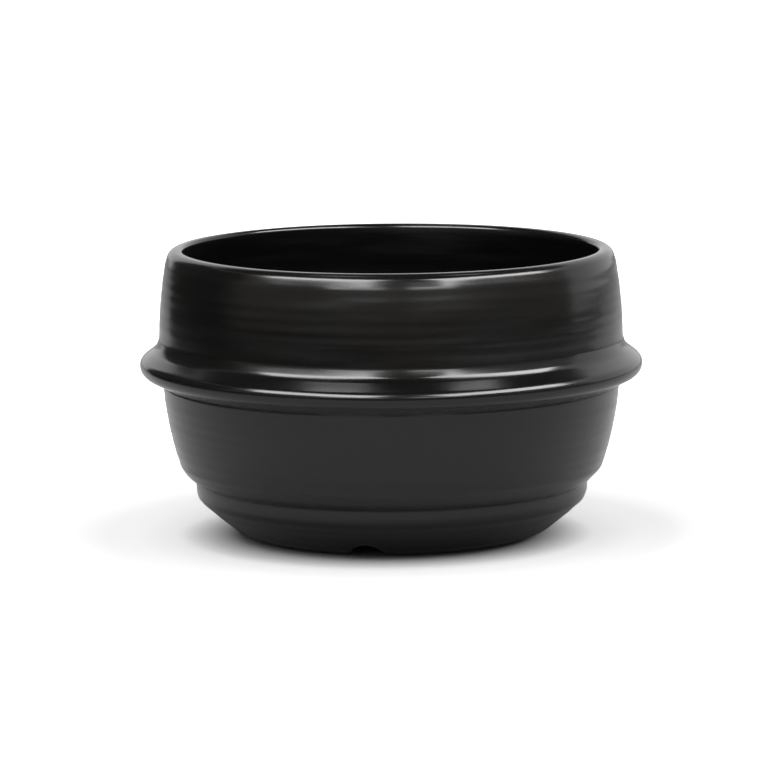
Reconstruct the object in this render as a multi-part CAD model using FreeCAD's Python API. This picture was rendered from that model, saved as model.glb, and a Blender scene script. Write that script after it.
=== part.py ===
import FreeCAD
import Part
import math
import os

# Earthenware stew pot, turned as one body and fired. All sizes are millimetres.
# The axis of the wheel is Z, and Z = 0 is the plane that the foot stands on.

# Rim and collar
pot_height = 91.0
mouth_radius = 66.0             # inside of the lip
lip_outer_radius = 70.8         # where the collar's face would meet the top of the lip
lip_outer_round = 3.5
lip_inner_round = 1.6
collar_swell_radius = 73.4      # the collar bulges a little on its way up
collar_swell_height = 74.5
collar_swell_round = 150.0
collar_foot_radius = 73.8

# Flange that the pot is lifted and carried by
flange_radius = 80.0            # widest point of the pot
flange_height = 54.6            # height of the middle of the nose
flange_nose_round = 2.6
flange_top_slope = 38.0         # degrees, falling outwards
flange_under_slope = 31.0       # degrees, rising outwards
flange_hollow_round = 3.8       # hollow between the flange and the collar
flange_joint_radius = 71.5      # sharp crease under the flange

# Belly
belly_top_radius = 72.6
belly_top_height = 46.2
belly_bend_radius = 71.2
belly_bend_height = 34.0
belly_bend_round = 90.0
belly_foot_radius = 67.0
belly_foot_height = 21.2
belly_foot_round = 6.5

# Step, and the lower tier that rounds in to the foot
step_radius = 62.4
step_height = 16.7
tier_radius = 62.2
tier_height = 12.0
tier_round = 5.0
tier_bend_radius = 57.2         # the slope of the tier steepens a little here
tier_bend_height = 7.6
foot_radius = 48.0              # where the slope of the tier would meet the floor
foot_outer_round = 13.0

# Foot ring and the base that is set up inside it
foot_inner_radius = 37.5
base_recess = 4.5
recess_radius = 35.5

# Arched notches through the foot ring
notch_count = 3
notch_width = 12.0
notch_height = 4.5
first_notch_angle = -99.3       # degrees round the axis, from +X

# Cavity
bore_foot_height = 36.0         # the bore is straight down to here
cavity_foot_radius = 58.0       # where the lower wall would meet the inside floor
cavity_foot_round = 17.0
floor_height = 11.5             # inside floor, above the plane that the foot stands on

# How the roundings are drawn
broad_round = 30.0              # a rounding this large is one true arc
chord_depth = 0.16              # a smaller one is short chords, which cut this deep into its arc


def flange_tip():
    """Point where the two slopes of the flange would meet, outside its rounded nose."""
    top = math.radians(flange_top_slope)
    under = math.radians(flange_under_slope)
    reach = flange_nose_round / math.sin((top + under) / 2)
    tilt = (top - under) / 2
    centre = flange_radius - flange_nose_round
    return centre + reach * math.cos(tilt), flange_height - reach * math.sin(tilt)


def flange_corners():
    """Crease, nose and hollow of the flange, from its underside up."""
    tip_radius, tip_height = flange_tip()
    joint_drop = (tip_radius - flange_joint_radius) * math.tan(math.radians(flange_under_slope))
    hollow_rise = (tip_radius - collar_foot_radius) * math.tan(math.radians(flange_top_slope))
    return [
        (flange_joint_radius, tip_height - joint_drop, 0.0),
        (tip_radius, tip_height, flange_nose_round),
        (collar_foot_radius, tip_height + hollow_rise, flange_hollow_round),
    ]


def outside_corners():
    """Corners of the outside, each as radius, height and rounding, from the base to the lip."""
    foot = [
        (0.0, base_recess, 0.0),
        (recess_radius, base_recess, 0.0),
        (foot_inner_radius, 0.0, 0.0),
        (foot_radius, 0.0, foot_outer_round),
    ]
    tier = [
        (tier_bend_radius, tier_bend_height, 0.0),
        (tier_radius, tier_height, tier_round),
        (step_radius, step_height, 0.0),
    ]
    belly = [
        (belly_foot_radius, belly_foot_height, belly_foot_round),
        (belly_bend_radius, belly_bend_height, belly_bend_round),
        (belly_top_radius, belly_top_height, 0.0),
    ]
    collar = [
        (collar_swell_radius, collar_swell_height, collar_swell_round),
        (lip_outer_radius, pot_height, lip_outer_round),
    ]
    return foot + tier + belly + flange_corners() + collar


def inside_corners():
    """Corners of the cavity, from the lip down to the middle of the floor."""
    return [
        (mouth_radius, pot_height, lip_inner_round),
        (mouth_radius, bore_foot_height, 0.0),
        (cavity_foot_radius, floor_height, cavity_foot_round),
        (0.0, floor_height, 0.0),
    ]


def tangent_length(before, corner, after, rounding):
    """Distance from a corner to where its rounding starts on each of its two runs."""
    turn = (corner - before).getAngle(after - corner)
    return rounding * math.tan(turn / 2)


def rounded_wire(corners):
    """Closed outline in the XZ plane: straight runs, with a rounding at each corner that has one.

    Where two roundings need more than the run between them, both give way in proportion.
    """
    points = [FreeCAD.Vector(radius, 0, height) for radius, height, _ in corners]
    count = len(points)
    starts = []
    for i in range(count):
        before, after = points[i - 1], points[(i + 1) % count]
        starts.append(tangent_length(before, points[i], after, corners[i][2]))
    runs = [(points[(i + 1) % count] - points[i]).Length for i in range(count)]
    scales = []
    for i in range(count):
        needs_before = starts[i - 1] + starts[i]
        needs_after = starts[i] + starts[(i + 1) % count]
        room_before = runs[i - 1] / needs_before if needs_before else 1.0
        room_after = runs[i] / needs_after if needs_after else 1.0
        scales.append(min(1.0, 0.98 * room_before, 0.98 * room_after))

    edges = []
    last_end = None
    first_start = None
    for i in range(count):
        corner = points[i]
        to_before = (points[i - 1] - corner).normalize()
        to_after = (points[(i + 1) % count] - corner).normalize()
        length = starts[i] * scales[i]
        start = corner + to_before * length
        end = corner + to_after * length
        if last_end is None:
            first_start = start
        else:
            edges.append(Part.LineSegment(last_end, start).toShape())
        if length > 0:
            edges += rounding_edges(corner, start, end, corners[i][2] * scales[i])
        last_end = end
    edges.append(Part.LineSegment(last_end, first_start).toShape())
    return Part.Wire(edges)


def rounding_edges(corner, start, end, rounding):
    """A broad rounding as its arc, and a small one as equal chords of it."""
    arc = corner_arc(corner, start, end, rounding)
    if rounding >= broad_round:
        return [arc.toShape()]
    turn = arc.LastParameter - arc.FirstParameter
    widest_step = 2 * math.acos(1 - min(chord_depth / rounding, 1.0))
    chord_count = math.ceil(turn / widest_step)
    points = arc.discretize(Number=chord_count + 1)
    return [Part.LineSegment(a, b).toShape() for a, b in zip(points, points[1:])]


def corner_arc(corner, start, end, rounding):
    """Arc of the given rounding, tangent to the two runs that meet at the corner."""
    middle = (start + end) * 0.5
    inwards = (middle - corner).normalize()
    half_chord = (end - start).Length / 2
    centre_depth = math.sqrt(rounding ** 2 - half_chord ** 2)
    crown = middle - inwards * (rounding - centre_depth)
    return Part.Arc(start, crown, end)


def turned_body():
    """The pot as it leaves the wheel."""
    outline = rounded_wire(outside_corners() + inside_corners())
    section = Part.Face(outline)
    return section.revolve(FreeCAD.Vector(0, 0, 0), FreeCAD.Vector(0, 0, 1), 360)


def notch_cutter(angle):
    """Round bar along a radius, whose crown makes the arch of one notch in the foot ring."""
    bar_radius = (notch_width ** 2 / 4 + notch_height ** 2) / (2 * notch_height)
    outwards = FreeCAD.Vector(math.cos(math.radians(angle)), math.sin(math.radians(angle)), 0)
    base = outwards * recess_radius
    base.z = notch_height - bar_radius
    length = tier_radius - recess_radius
    return Part.makeCylinder(bar_radius, length, base, outwards)


def pot_body():
    """The turned body with its foot ring notched."""
    body = turned_body()
    for i in range(notch_count):
        body = body.cut(notch_cutter(first_notch_angle + i * 360 / notch_count))
    return body.Solids[0]


os.makedirs("parts", exist_ok=True)
pot_body().exportStep("parts/pot_body.step")
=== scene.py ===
import math

import bmesh
import bpy
from mathutils import Matrix, Vector, noise


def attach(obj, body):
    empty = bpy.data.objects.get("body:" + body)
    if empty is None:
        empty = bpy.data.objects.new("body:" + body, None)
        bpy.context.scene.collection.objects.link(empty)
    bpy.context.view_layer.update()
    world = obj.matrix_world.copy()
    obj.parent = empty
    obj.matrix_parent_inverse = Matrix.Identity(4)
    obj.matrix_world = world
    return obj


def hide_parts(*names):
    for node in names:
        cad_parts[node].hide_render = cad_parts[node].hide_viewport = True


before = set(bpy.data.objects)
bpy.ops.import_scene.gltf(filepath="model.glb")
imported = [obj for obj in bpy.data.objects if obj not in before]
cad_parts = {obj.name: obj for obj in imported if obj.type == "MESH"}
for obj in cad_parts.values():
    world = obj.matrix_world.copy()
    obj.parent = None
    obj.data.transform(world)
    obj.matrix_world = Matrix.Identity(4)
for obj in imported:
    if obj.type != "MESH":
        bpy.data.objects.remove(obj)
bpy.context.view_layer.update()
mm = 0.001

pot = {
    # radius, height and rounding in mm, then the rounding's segments, from the base up to the lip
    "outside": [
        (0.0, 4.5, 0.0, 0),         # middle of the base
        (35.2, 4.5, 1.2, 4),
        (37.3, 0.0, 0.8, 4),        # inner edge of the foot ring
        (48.0, 0.0, 13.0, 12),      # outer edge of the foot ring
        (57.2, 7.6, 8.0, 4),        # the lower tier steepens
        (62.2, 12.0, 5.0, 10),
        (62.4, 16.7, 1.1, 6),       # step
        (67.0, 21.2, 6.5, 10),      # foot of the belly
        (71.2, 34.0, 90.0, 18),
        (72.62, 47.95, 0.12, 2),    # top of the belly
        (72.36, 48.2, 0.2, 2),      # crease under the flange
        (80.41, 52.44, 3.6, 12),    # nose of the flange, fuller below
        (79.7, 56.2, 2.8, 10),
        (74.9, 59.9, 4.0, 14),      # hollow above the flange
        (73.8, 62.9, 3.0, 4),
        (73.4, 74.5, 130.0, 18),    # swell of the collar
        (71.5, 86.7, 9.0, 6),       # the lip starts to lean in
        (70.15, 91.0, 2.8, 12),     # outer edge of the lip
    ],
    # from the lip down to the middle of the cavity's floor
    "inside": [
        (66.0, 91.0, 1.3, 8),
        (66.0, 36.0, 40.0, 8),
        (58.0, 11.5, 17.0, 16),
        (0.0, 11.5, 0.0, 0),
    ],
    "lipCrest": 1.6,                # mm from the mouth out to the top of the lip
    "longest": 0.75,                # mm between two points of the outline
    "longestUnderMouth": 2.2,       # and in the cavity, at the step and at the belly's foot
    "steps": 208,                   # round the axis
    "mergeWithin": 0.01,            # mm
    "sharpFrom": 42,                # degrees between two faces
}

notches = {
    "count": 3,
    "width": 12.0,
    "height": 4.5,
    "firstAngle": -99.3,            # degrees, as in the clay's foot
    "inner": 33.0,                  # the cutter runs from here, under the base
    "outer": 60.0,
    "sides": 96,
}

rings = {
    "pitch": 3.4,                   # mm between two turns of the potter's finger
    # height from, to, and how far the rings stand out, all in mm, wherever underMouth doesn't hold
    "zones": [
        (1.0, 16.0, 0.020),
        (18.0, 46.0, 0.022),
        (49.0, 60.0, 0.012),
        (64.0, 86.0, 0.018),
    ],
    "zoneFade": 2.0,                # mm over which the rings fade out at both ends of a zone
    "underMouth": 0.07,             # mm, in the cavity, at the step and at the belly's foot
    "smoothMiddle": 30.0,           # mm, the base and the floor are smooth within this radius
    "depthSpread": (0.75, 0.5),     # even and uneven part of the rings' depth
    "streak": 0.06,                 # uneven streaks that run part of the way round
    "streakHeight": 2.6,
    "streakLength": 1.3,            # a larger number gives more and shorter streaks
    "streakPlace": (4.1, 0.7),      # another number gives another pot
    "streakFullAt": 0.02,           # the streaks are full where the rings are this deep
    "wobble": 0.12,                 # slow unevenness of the whole wall
    "wobbleHeight": 25.0,
    "wobbleLength": 1.1,
    "wobblePlace": (9.3, 2.2),
    "wobbleFullAt": 12.0,           # mm above the table, so that the foot stays true
    # heights where the sag of the flange starts, is full, fades and ends, all in mm
    "sagHeights": (48.5, 54.5, 60.5, 67.0),
    "sagLowest": 8,                 # azimuth of its lowest place, in degrees
    "sagDepth": 0.65,
}


def cornerTurn(before, corner, after):
    toCorner = Vector((corner[0] - before[0], corner[1] - before[1]))
    fromCorner = Vector((after[0] - corner[0], after[1] - corner[1]))
    return abs(toCorner.angle_signed(fromCorner))


def drawOutline(bm):
    # one open line of sharp corners, and each corner is then rounded by a vertex bevel
    corners = pot["outside"] + pot["inside"]
    points = [bm.verts.new((radius * mm, 0, height * mm)) for radius, height, _, _ in corners]
    for first, second in zip(points, points[1:]):
        bm.edges.new((first, second))
    for i in range(1, len(corners) - 1):
        rounding, segments = corners[i][2:]
        turn = cornerTurn(corners[i - 1], corners[i], corners[i + 1])
        bmesh.ops.bevel(bm, geom=[points[i]], offset=rounding * math.tan(turn / 2) * mm,
                        offset_type="OFFSET", segments=segments, profile=0.5,
                        affect="VERTICES", material=-1, clamp_overlap=False)


def isUnderMouth(place):
    # within the lip's crest and above the inside floor: the cavity, the step and the belly's foot
    cavityFloor = pot["inside"][-1][1] * mm
    lipCrest = (pot["inside"][0][0] + pot["lipCrest"]) * mm
    return Vector((place.x, place.y)).length < lipCrest and place.z > cavityFloor - 0.5 * mm


def turnBody(bm):
    drawOutline(bm)
    for edge in bm.edges[:]:
        middle = (edge.verts[0].co + edge.verts[1].co) / 2
        longest = pot["longestUnderMouth"] if isUnderMouth(middle) else pot["longest"]
        cuts = math.ceil(edge.calc_length() / (longest * mm)) - 1
        if cuts > 0:
            bmesh.ops.subdivide_edges(bm, edges=[edge], cuts=cuts)
    print("outline has", len(bm.verts), "points")
    bmesh.ops.spin(bm, geom=bm.verts[:] + bm.edges[:], cent=(0, 0, 0), axis=(0, 0, 1),
                   dvec=(0, 0, 0), angle=math.tau, steps=pot["steps"], use_merge=True)
    bmesh.ops.remove_doubles(bm, verts=bm.verts[:], dist=pot["mergeWithin"] * mm)
    bmesh.ops.recalc_face_normals(bm, faces=bm.faces[:])


def zoneDepth(height):
    fade = rings["zoneFade"]
    for low, high, depth in rings["zones"]:
        if low < height < high:
            return depth * min(1.0, (height - low) / fade, (high - height) / fade)
    return 0.0


def flangeSag(height, azimuth):
    starts, full, fades, ends = rings["sagHeights"]
    rise, fall = (height - starts) / (full - starts), (ends - height) / (ends - fades)
    share = max(0.0, min(1.0, rise, fall))
    aside = azimuth - math.radians(rings["sagLowest"])
    return rings["sagDepth"] * share * share * (3 - 2 * share) * (0.5 + 0.5 * math.cos(aside)) ** 3


def fingerMark(height, turned, depth):
    # in mm: a spiral of rings, streaks that fade in and out round the pot, and a slow wobble
    side = Vector((math.cos(turned), math.sin(turned), 0))
    streakAt = Vector(rings["streakPlace"] + (height / rings["streakHeight"],))
    wobbleAt = Vector(rings["wobblePlace"] + (height / rings["wobbleHeight"],))
    streak = noise.noise(side * rings["streakLength"] + streakAt)
    wobble = noise.noise(side * rings["wobbleLength"] + wobbleAt)
    evenPart, unevenPart = rings["depthSpread"]
    turns = height / rings["pitch"] + turned / math.tau
    mark = depth * math.sin(turns * math.tau) * (evenPart + unevenPart * wobble)
    mark += streak * rings["streak"] * min(1.0, depth / rings["streakFullAt"])
    return mark + wobble * rings["wobble"] * min(1.0, height / rings["wobbleFullAt"])


def markBody(bm):
    bm.normal_update()
    moves = []
    for point in bm.verts:
        if point.co.xy.length < rings["smoothMiddle"] * mm:
            continue
        height = point.co.z / mm
        turned = math.atan2(point.co.y, point.co.x)
        underMouth = isUnderMouth(point.co)
        depth = rings["underMouth"] if underMouth else zoneDepth(height)
        move = point.normal * fingerMark(height, turned, depth)
        if not underMouth:
            move.z -= flangeSag(height, turned + math.pi / 2)
        moves.append((point, move * mm))
    for point, move in moves:
        point.co += move


def notchCutter():
    # three round bars along radii, and each bar's crown is the arch of one notch
    half, rise = notches["width"] / 2, notches["height"]
    barRadius = (half ** 2 + rise ** 2) / (2 * rise)
    length = notches["outer"] - notches["inner"]
    middle = notches["inner"] + length / 2
    lieDown = Matrix.Rotation(math.pi / 2, 4, "Y")
    place = Matrix.Translation((middle * mm, 0, (rise - barRadius) * mm))
    bm = bmesh.new()
    for i in range(notches["count"]):
        angle = math.radians(notches["firstAngle"] + i * 360 / notches["count"])
        bmesh.ops.create_cone(bm, cap_ends=True, segments=notches["sides"],
                              radius1=barRadius * mm, radius2=barRadius * mm, depth=length * mm,
                              matrix=Matrix.Rotation(angle, 4, "Z") @ place @ lieDown)
    return newObject("notchCutter", bm)


def newObject(name, bm):
    mesh = bpy.data.meshes.new(name)
    bm.to_mesh(mesh)
    bm.free()
    made = bpy.data.objects.new(name, mesh)
    bpy.context.scene.collection.objects.link(made)
    return made


def makePot():
    bm = bmesh.new()
    turnBody(bm)
    markBody(bm)
    body = newObject("potBody", bm)
    cutter = notchCutter()
    cut = body.modifiers.new("notches", "BOOLEAN")
    cut.operation, cut.solver, cut.object = "DIFFERENCE", "EXACT", cutter
    cutBody = body.evaluated_get(bpy.context.evaluated_depsgraph_get())
    cutMesh = bpy.data.meshes.new_from_object(cutBody)
    body.modifiers.clear()
    body.data = cutMesh
    bpy.data.objects.remove(cutter)
    body.data.shade_smooth()
    body.data.set_sharp_from_angle(angle=math.radians(pot["sharpFrom"]))
    print("pot has", len(body.data.polygons), "faces")
    return body


potBody = makePot()
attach(potBody, "root")
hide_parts("pot_body")


glaze = {
    "collar": (0.0054, 0.0045, 0.0024, 1),      # a little brown where it is thin
    "belly": (0.0038, 0.0037, 0.0048, 1),       # and bluer on the belly
    "toneChange": (0.044, 0.060),   # m, heights between which the belly's tone gives way
    "cloudScale": 26.0,             # per metre, for the slow drift of the tone
    "cloudBalance": -0.15,
    "paintedLightGrey": (0.030, 0.029, 0.028, 1),           # painted light: a lighter grey in the glaze, which lifts the shade in the crease under the flange and stands in for the bright paper mirrored at the belly's foot
    # height, reach either way and radius it starts at, all in mm, and how much of the painted
    # light it gets
    "paintedLightPlaces": [
        (49.8, 2.6, 69.5, 1.0),     # under the flange, painted light in the shaded crease
        (20.5, 2.4, 62.5, 0.62),    # foot of the belly, painted light for the bright paper it mirrors
    ],
    "paintedLightCore": 0.4,                # this share of the reach gets the painted light all through
    "roughness": (0.14, 0.24),
    "brushScale": 34.0,             # the satin runs in bands, as the glaze was brushed on
    "brushFlatness": 9,
    "peel": 0.22,
    "peelScale": 620.0,
    "peelDepth": 0.02 * mm,
    "refraction": 1.46,
}

bareClay = {
    "dark": (0.020, 0.016, 0.013, 1),
    "light": (0.060, 0.047, 0.038, 1),
    "grainScale": 900.0,            # per metre, for grains of about a millimetre
    "grainRoughness": 0.62,
    "pits": 0.7,
    "pitDepth": 0.1 * mm,
    "roughness": 0.8,
    "glazeLine": 0.5 * mm,          # the foot ring was wiped clean below this height
    "glazeLineWander": 0.6 * mm,
    "glazeLineSoftness": 0.1 * mm,
}


def nodeMaker(tree):
    # short calls: node kind, what its inputs are joined to or set to, and then its settings
    def make(kind, inputs=None, **settings):
        node = tree.nodes.new(kind)
        for name, value in settings.items():
            setattr(node, name, value)
        for name, value in (inputs or {}).items():
            if isinstance(value, bpy.types.NodeSocket):
                tree.links.new(value, node.inputs[name])
            else:
                node.inputs[name].default_value = value
        return node
    return make


def bareClayShader(make, place):
    grain = make("ShaderNodeTexNoise", {
        "Vector": place, "Scale": bareClay["grainScale"], "Detail": 5.0,
        "Roughness": bareClay["grainRoughness"]})
    colour = make("ShaderNodeMix", {
        "Factor": grain.outputs[0], "A": bareClay["dark"], "B": bareClay["light"]},
        data_type="RGBA")
    pits = make("ShaderNodeBump", {
        "Strength": bareClay["pits"], "Distance": bareClay["pitDepth"],
        "Height": grain.outputs[0]})
    return make("ShaderNodeBsdfPrincipled", {
        "Base Color": colour.outputs["Result"], "Normal": pits.outputs[0],
        "Roughness": bareClay["roughness"]})


def paintedLightMask(make, height, radius):
    # 1 where light is painted into the glaze as a lighter grey, and 0 where it is not
    mostPaintedLight = 0.0
    for middle, reach, fromRadius, share in glaze["paintedLightPlaces"]:
        outside = make("ShaderNodeMapRange", {
            "Value": radius, "From Min": (fromRadius - 1) * mm,
            "From Max": (fromRadius + 1) * mm, "To Max": share})
        above = make("ShaderNodeMath", {0: height, 1: middle * mm}, operation="SUBTRACT")
        apart = make("ShaderNodeMath", {0: above.outputs[0]}, operation="ABSOLUTE")
        place = make("ShaderNodeMapRange", {
            "Value": apart.outputs[0], "From Min": reach * mm,
            "From Max": reach * glaze["paintedLightCore"] * mm, "To Max": outside.outputs[0]},
            interpolation_type="SMOOTHSTEP")
        both = make("ShaderNodeMath", {0: place.outputs[0], 1: mostPaintedLight}, operation="MAXIMUM")
        mostPaintedLight = both.outputs[0]
    return mostPaintedLight


def glazeColour(make, place, height, cloud):
    acrossOnly = make("ShaderNodeMapping", {"Vector": place, "Scale": (1, 1, 0)})
    radius = make("ShaderNodeVectorMath", {0: acrossOnly.outputs[0]}, operation="LENGTH")
    upwards = make("ShaderNodeMapRange", {
        "Value": height, "From Min": glaze["toneChange"][0], "From Max": glaze["toneChange"][1]},
        interpolation_type="SMOOTHSTEP")
    tone = make("ShaderNodeMath", {
        0: upwards.outputs[0], 1: cloud, 2: glaze["cloudBalance"]}, operation="MULTIPLY_ADD")
    full = make("ShaderNodeMix", {
        "Factor": tone.outputs[0], "A": glaze["belly"], "B": glaze["collar"]}, data_type="RGBA")
    # painted light: a lighter grey under the flange and at the belly's foot
    colour = make("ShaderNodeMix", {
        "Factor": paintedLightMask(make, height, radius.outputs["Value"]),
        "A": full.outputs["Result"], "B": glaze["paintedLightGrey"]}, data_type="RGBA")
    return colour.outputs["Result"]


def glazeMaterial():
    material = bpy.data.materials.new("blackGlaze")
    material.use_nodes = True
    tree = material.node_tree
    tree.nodes.clear()
    make = nodeMaker(tree)
    place = make("ShaderNodeTexCoord").outputs["Object"]
    height = make("ShaderNodeSeparateXYZ", {0: place}).outputs["Z"]
    cloud = make("ShaderNodeTexNoise", {
        "Vector": place, "Scale": glaze["cloudScale"], "Detail": 3.0}).outputs[0]

    flat = make("ShaderNodeMapping", {"Vector": place, "Scale": (1, 1, glaze["brushFlatness"])})
    brushed = make("ShaderNodeTexNoise", {
        "Vector": flat.outputs[0], "Scale": glaze["brushScale"], "Detail": 4.0})
    satin = make("ShaderNodeMapRange", {
        "Value": brushed.outputs[0], "From Min": 0.3, "From Max": 0.7,
        "To Min": glaze["roughness"][0], "To Max": glaze["roughness"][1]})
    peel = make("ShaderNodeTexNoise", {
        "Vector": place, "Scale": glaze["peelScale"], "Detail": 2.0})
    bump = make("ShaderNodeBump", {
        "Strength": glaze["peel"], "Distance": glaze["peelDepth"], "Height": peel.outputs[0]})
    glazed = make("ShaderNodeBsdfPrincipled", {
        "Base Color": glazeColour(make, place, height, cloud), "Roughness": satin.outputs[0],
        "Normal": bump.outputs[0], "IOR": glaze["refraction"]})

    # the wiped edge wanders up and down a little
    line, softness = bareClay["glazeLine"], bareClay["glazeLineSoftness"]
    edge = make("ShaderNodeMath", {
        0: cloud, 1: bareClay["glazeLineWander"], 2: height}, operation="MULTIPLY_ADD")
    covered = make("ShaderNodeMapRange", {
        "Value": edge.outputs[0], "From Min": line, "From Max": line + softness})
    surface = make("ShaderNodeMixShader", {
        0: covered.outputs[0], 1: bareClayShader(make, place).outputs[0], 2: glazed.outputs[0]})
    make("ShaderNodeOutputMaterial", {"Surface": surface.outputs[0]})
    return material


potBody.data.materials.append(glazeMaterial())
print("glaze made")


studio = {
    # m, corners of the white sheet that the pot stands on, which widens behind the pot
    "paperCorners": [(-0.32, -0.45), (0.48, -0.45), (0.50, 0.12), (2.90, 2.60), (2.90, 5.0),
                     (-3.10, 5.0), (-3.10, 4.40), (-0.42, 0.42)],
    "paperDrop": 0.05 * mm,         # the sheet lies this far under the foot
    "paperTone": 0.88,
    "paintedShadowTone": 0.45,            # painted shadow: the sheet is this much darker close under the foot
    "paintedShadowReach": (0.052, 0.084),         # m, distances between which the painted shadow fades
    "shadowAside": (0.002, 0.004, 0.0),     # m, the painted shadow reaches further at the front and the left
    # painted light, seen by the camera only: near the foot it shapes the pot's shadow, and farther
    # off it whitens the sheet as overexposure does. Distance from the pot's axis in m, and added
    # light
    "glow": [(0.046, 0.0), (0.056, 0.24), (0.066, 0.54), (0.090, 0.34), (0.16, 0.60), (0.30, 1.0)],
    "floorTone": 0.08,              # the floor beyond the sheet, far at the left
    "floorSteps": [                 # where its tone changes, from x to x in m, and what to
        (-0.3, 0.0, 0.16),
        (0.2, 0.5, 0.34),
    ],
    "floorRadius": 8.0,
    "floorDrop": 2 * mm,
    "surround": 0.38,               # what the white room gives to matt surfaces
    "cardRadius": 2.0,
    "cardSteps": 48,
    "cards": [
        # name, azimuth from and to, height from and to, and its colour at the bottom and the top
        ("dimRoom", -80, 100, 0.0, 0.62, (0.14, 0.135, 0.12), (0.50, 0.48, 0.44)),
        ("dimRoomTop", -80, 100, 0.62, 1.60, (0.41, 0.39, 0.35), (0.08, 0.08, 0.08)),
        ("doorFrame", -84, -80, 0.0, 0.62, (0.12, 0.12, 0.11), (0.38, 0.37, 0.34)),
        ("doorPost", -88, -84, 0.0, 0.62, (0.09, 0.09, 0.08), (0.26, 0.25, 0.23)),
        ("doorEdge", -92, -88, 0.0, 0.62, (0.06, 0.06, 0.055), (0.16, 0.155, 0.14)),
        ("darkDoorway", -147, -92, 0.0, 0.62, (0.035, 0.035, 0.033), (0.09, 0.09, 0.085)),
        ("darkDoorwayTop", -147, -80, 0.62, 1.60, (0.09, 0.09, 0.085), (0.08, 0.08, 0.08)),
    ],
    "ceilingHeight": 1.60,
    "ceilingRadius": 1.9,
    "ceilingTone": 0.07,
    "lamps": [
        # name, azimuth, elevation, distance, width, height, brightness, and what it lights
        ("leftSoftbox", -39, 42, 1.10, 1.02, 0.42, 15.0, "glaze"),
        ("rightSoftbox", 58.5, 42, 1.10, 1.15, 0.42, 15.0, "glaze"),
        ("leftStrip", -18, 24, 1.30, 0.60, 0.16, 6.0, "glaze"),
        ("rightStrip", 21, 24, 1.30, 0.50, 0.16, 6.0, "glaze"),
        ("topLeft", -115, 77.7, 1.18, 0.13, 0.26, 4.5, "glaze"),
        ("topRight", 116, 71, 1.19, 0.11, 0.20, 4.5, "glaze"),
        ("leftFill", -40, 48, 1.40, 1.00, 0.80, 1.90, "matt"),
        ("rightFill", 62, 48, 1.40, 1.00, 0.80, 1.60, "matt"),
        ("overhead", 180, 84, 1.30, 0.90, 0.70, 2.30, "matt"),
    ],
    "roundness": 64,                # sides of the floor and the ceiling
}

camera = {
    "distance": 1.5,
    "elevation": 8.38,
    "roll": -0.408,
    "lens": 222.9,
    "sensor": 36,
    "middle": (0, 0, 0.045),        # this point of the pot
    "middleAt": (391.26, 390.74),   # is seen at this pixel
    "frameSide": 760,
    "pixelsPerMetre": 3136.7,
}


def around(azimuth, elevation):
    # direction from the pot. Azimuth 0 is towards the camera and 90 is +X
    a, e = math.radians(azimuth), math.radians(elevation)
    return Vector((math.sin(a) * math.cos(e), -math.cos(a) * math.cos(e), math.sin(e)))


def stageMaterial(name):
    material = bpy.data.materials.new(name)
    material.use_nodes = True
    material.node_tree.nodes.clear()
    return material, nodeMaker(material.node_tree)


def flatDisc(name, radius, height):
    bm = bmesh.new()
    bmesh.ops.create_circle(bm, cap_ends=True, segments=studio["roundness"], radius=radius)
    bmesh.ops.translate(bm, verts=bm.verts[:], vec=(0, 0, height))
    return newObject(name, bm)


def makePaper():
    # a white sheet with a painted shadow close under the foot, and painted light that only the
    # camera sees, which grows with the distance from the pot, shapes the shadow near the foot and
    # whitens the sheet far off
    bm = bmesh.new()
    drop = studio["paperDrop"]
    bm.faces.new([bm.verts.new((x, y, -drop)) for x, y in studio["paperCorners"]])
    paper = newObject("paper", bm)
    material, make = stageMaterial("whitePaper")
    place = make("ShaderNodeTexCoord").outputs["Object"]
    aside = make("ShaderNodeVectorMath", {0: place, 1: studio["shadowAside"]}, operation="ADD")
    away = make("ShaderNodeVectorMath", {0: aside.outputs[0]}, operation="LENGTH").outputs["Value"]
    farthest = studio["glow"][-1][0]
    share = make("ShaderNodeMath", {0: away, 1: farthest}, operation="DIVIDE")
    # painted light for the camera, which shapes the shadow near the foot
    over = make("ShaderNodeValToRGB", {0: share.outputs[0]})
    stops = over.color_ramp.elements
    for i, (distance, light) in enumerate(studio["glow"]):
        stop = stops[i] if i < len(stops) else stops.new(1.0)
        stop.position, stop.color = distance / farthest, (light, light, light, 1)
    rays = make("ShaderNodeLightPath")
    glow = make("ShaderNodeMath", {
        0: over.outputs[0], 1: rays.outputs["Is Camera Ray"]}, operation="MULTIPLY")
    # painted shadow: the sheet darkens close under the foot
    tone = make("ShaderNodeMapRange", {
        "Value": away, "From Min": studio["paintedShadowReach"][0],
        "From Max": studio["paintedShadowReach"][1], "To Min": studio["paintedShadowTone"],
        "To Max": studio["paperTone"]}, interpolation_type="SMOOTHSTEP")
    matt = make("ShaderNodeBsdfDiffuse", {"Color": tone.outputs[0]})
    shine = make("ShaderNodeEmission", {"Color": (1, 1, 1, 1), "Strength": glow.outputs[0]})
    both = make("ShaderNodeAddShader", {0: matt.outputs[0], 1: shine.outputs[0]})
    make("ShaderNodeOutputMaterial", {"Surface": both.outputs[0]})
    paper.data.materials.append(material)


def makeDarkFloor():
    # the floor that shows in the glaze where the sheet ends, darker at the left
    floor = flatDisc("studioFloor", studio["floorRadius"], -studio["floorDrop"])
    material, make = stageMaterial("studioFloor")
    place = make("ShaderNodeTexCoord").outputs["Object"]
    across = make("ShaderNodeSeparateXYZ", {0: place}).outputs["X"]
    tone = studio["floorTone"]
    for start, end, nextTone in studio["floorSteps"]:
        step = make("ShaderNodeMapRange", {
            "Value": across, "From Min": start, "From Max": end, "To Min": tone,
            "To Max": nextTone})
        tone = step.outputs[0]
    matt = make("ShaderNodeBsdfDiffuse", {"Color": tone})
    make("ShaderNodeOutputMaterial", {"Surface": matt.outputs[0]})
    floor.data.materials.append(material)
    floor.visible_camera = False


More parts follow.
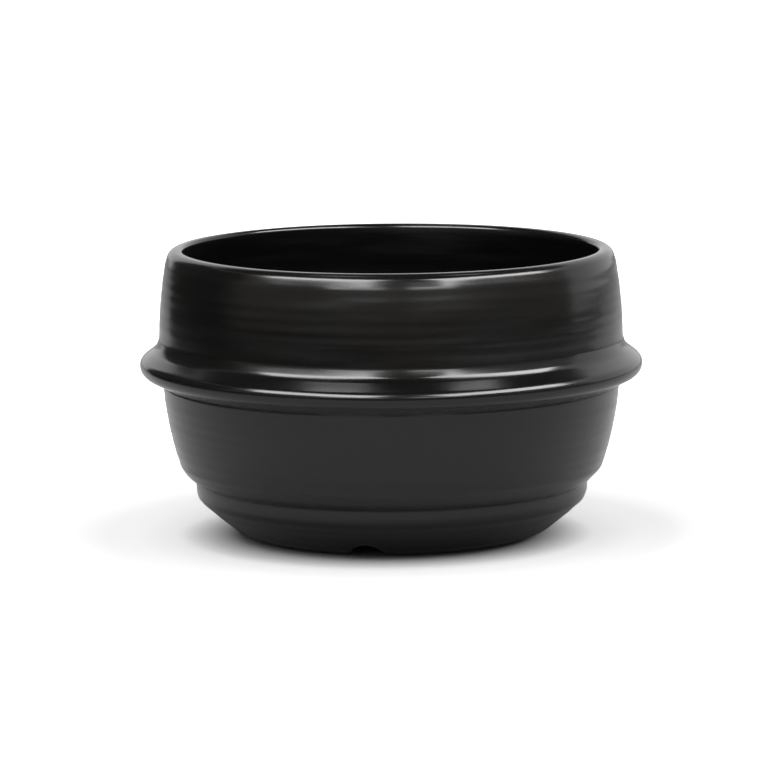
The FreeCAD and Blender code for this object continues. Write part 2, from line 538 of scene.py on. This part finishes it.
def makeCards():
    # curved cards in front and at the left, which only the glaze sees
    for name, fromAzimuth, toAzimuth, low, high, lowColour, highColour in studio["cards"]:
        bm = bmesh.new()
        start = around(fromAzimuth, 0) * studio["cardRadius"]
        ends = [bm.verts.new(start + Vector((0, 0, height))) for height in (low, high)]
        bm.edges.new(ends)
        bmesh.ops.spin(bm, geom=bm.verts[:] + bm.edges[:], cent=(0, 0, 0), axis=(0, 0, 1),
                       dvec=(0, 0, 0), angle=math.radians(toAzimuth - fromAzimuth),
                       steps=studio["cardSteps"])
        card = newObject(name, bm)
        material, make = stageMaterial(name)
        place = make("ShaderNodeTexCoord").outputs["Object"]
        up = make("ShaderNodeSeparateXYZ", {0: place}).outputs["Z"]
        share = make("ShaderNodeMapRange", {"Value": up, "From Min": low, "From Max": high})
        colour = make("ShaderNodeMix", {
            "Factor": share.outputs[0], "A": lowColour + (1,), "B": highColour + (1,)},
            data_type="RGBA")
        shine = make("ShaderNodeEmission", {"Color": colour.outputs["Result"]})
        make("ShaderNodeOutputMaterial", {"Surface": shine.outputs[0]})
        card.data.materials.append(material)
        showInGlazeOnly(card)


def makeCeiling():
    ceiling = flatDisc("darkCeiling", studio["ceilingRadius"], studio["ceilingHeight"])
    material, make = stageMaterial("darkCeiling")
    shine = make("ShaderNodeEmission", {"Color": (studio["ceilingTone"],) * 3 + (1,)})
    make("ShaderNodeOutputMaterial", {"Surface": shine.outputs[0]})
    ceiling.data.materials.append(material)
    showInGlazeOnly(ceiling)


def showInGlazeOnly(card):
    card.visible_camera = card.visible_diffuse = card.visible_shadow = False


def makeWorld():
    # white for the camera and for mirrored rays, and plainer for the light on matt surfaces
    world = bpy.data.worlds.new("whiteRoom")
    world.use_nodes = True
    bpy.context.scene.world = world
    world.node_tree.nodes.clear()
    make = nodeMaker(world.node_tree)
    rays = make("ShaderNodeLightPath")
    seen = make("ShaderNodeMath", {
        0: rays.outputs["Is Camera Ray"], 1: rays.outputs["Is Glossy Ray"]},
        operation="MAXIMUM")
    clear = make("ShaderNodeMath", {
        0: seen.outputs[0], 1: rays.outputs["Is Transmission Ray"]}, operation="MAXIMUM")
    strength = make("ShaderNodeMapRange", {
        "Value": clear.outputs[0], "To Min": studio["surround"], "To Max": 1.0})
    white = make("ShaderNodeBackground", {
        "Color": (1, 1, 1, 1), "Strength": strength.outputs[0]})
    make("ShaderNodeOutputWorld", {"Surface": white.outputs[0]})


def makeLamps():
    for name, azimuth, elevation, distance, width, height, brightness, lights in studio["lamps"]:
        light = bpy.data.lights.new(name, "AREA")
        light.shape, light.size, light.size_y = "RECTANGLE", width, height
        light.energy = brightness * math.pi * width * height
        lamp = bpy.data.objects.new(name, light)
        towards = around(azimuth, elevation)
        lamp.location = towards * distance
        lamp.rotation_euler = towards.to_track_quat("Z", "Y").to_euler()
        lamp.visible_camera = False
        lamp.visible_glossy = lights == "glaze"
        lamp.visible_diffuse = lights == "matt"
        bpy.context.scene.collection.objects.link(lamp)


def makeCamera():
    back = around(0, camera["elevation"])
    turn = (-back).to_track_quat("-Z", "Y").to_matrix()
    frameMiddle = camera["frameSide"] / 2
    aside, down = ((pixel - frameMiddle) / camera["pixelsPerMetre"]
                   for pixel in camera["middleAt"])
    aim = Vector(camera["middle"]) - turn.col[0] * aside + turn.col[1] * down
    data = bpy.data.cameras.new("camera")
    data.lens, data.sensor_width = camera["lens"], camera["sensor"]
    eye = bpy.data.objects.new("camera", data)
    roll = Matrix.Rotation(math.radians(camera["roll"]), 4, "Z")
    eye.matrix_world = (Matrix.Translation(aim + back * camera["distance"])
                        @ turn.to_4x4() @ roll)
    bpy.context.scene.collection.objects.link(eye)
    bpy.context.scene.camera = eye


makePaper()
makeDarkFloor()
makeCards()
makeCeiling()
makeWorld()
makeLamps()
makeCamera()
bpy.context.scene.view_settings.view_transform = "Standard"
print("studio made")
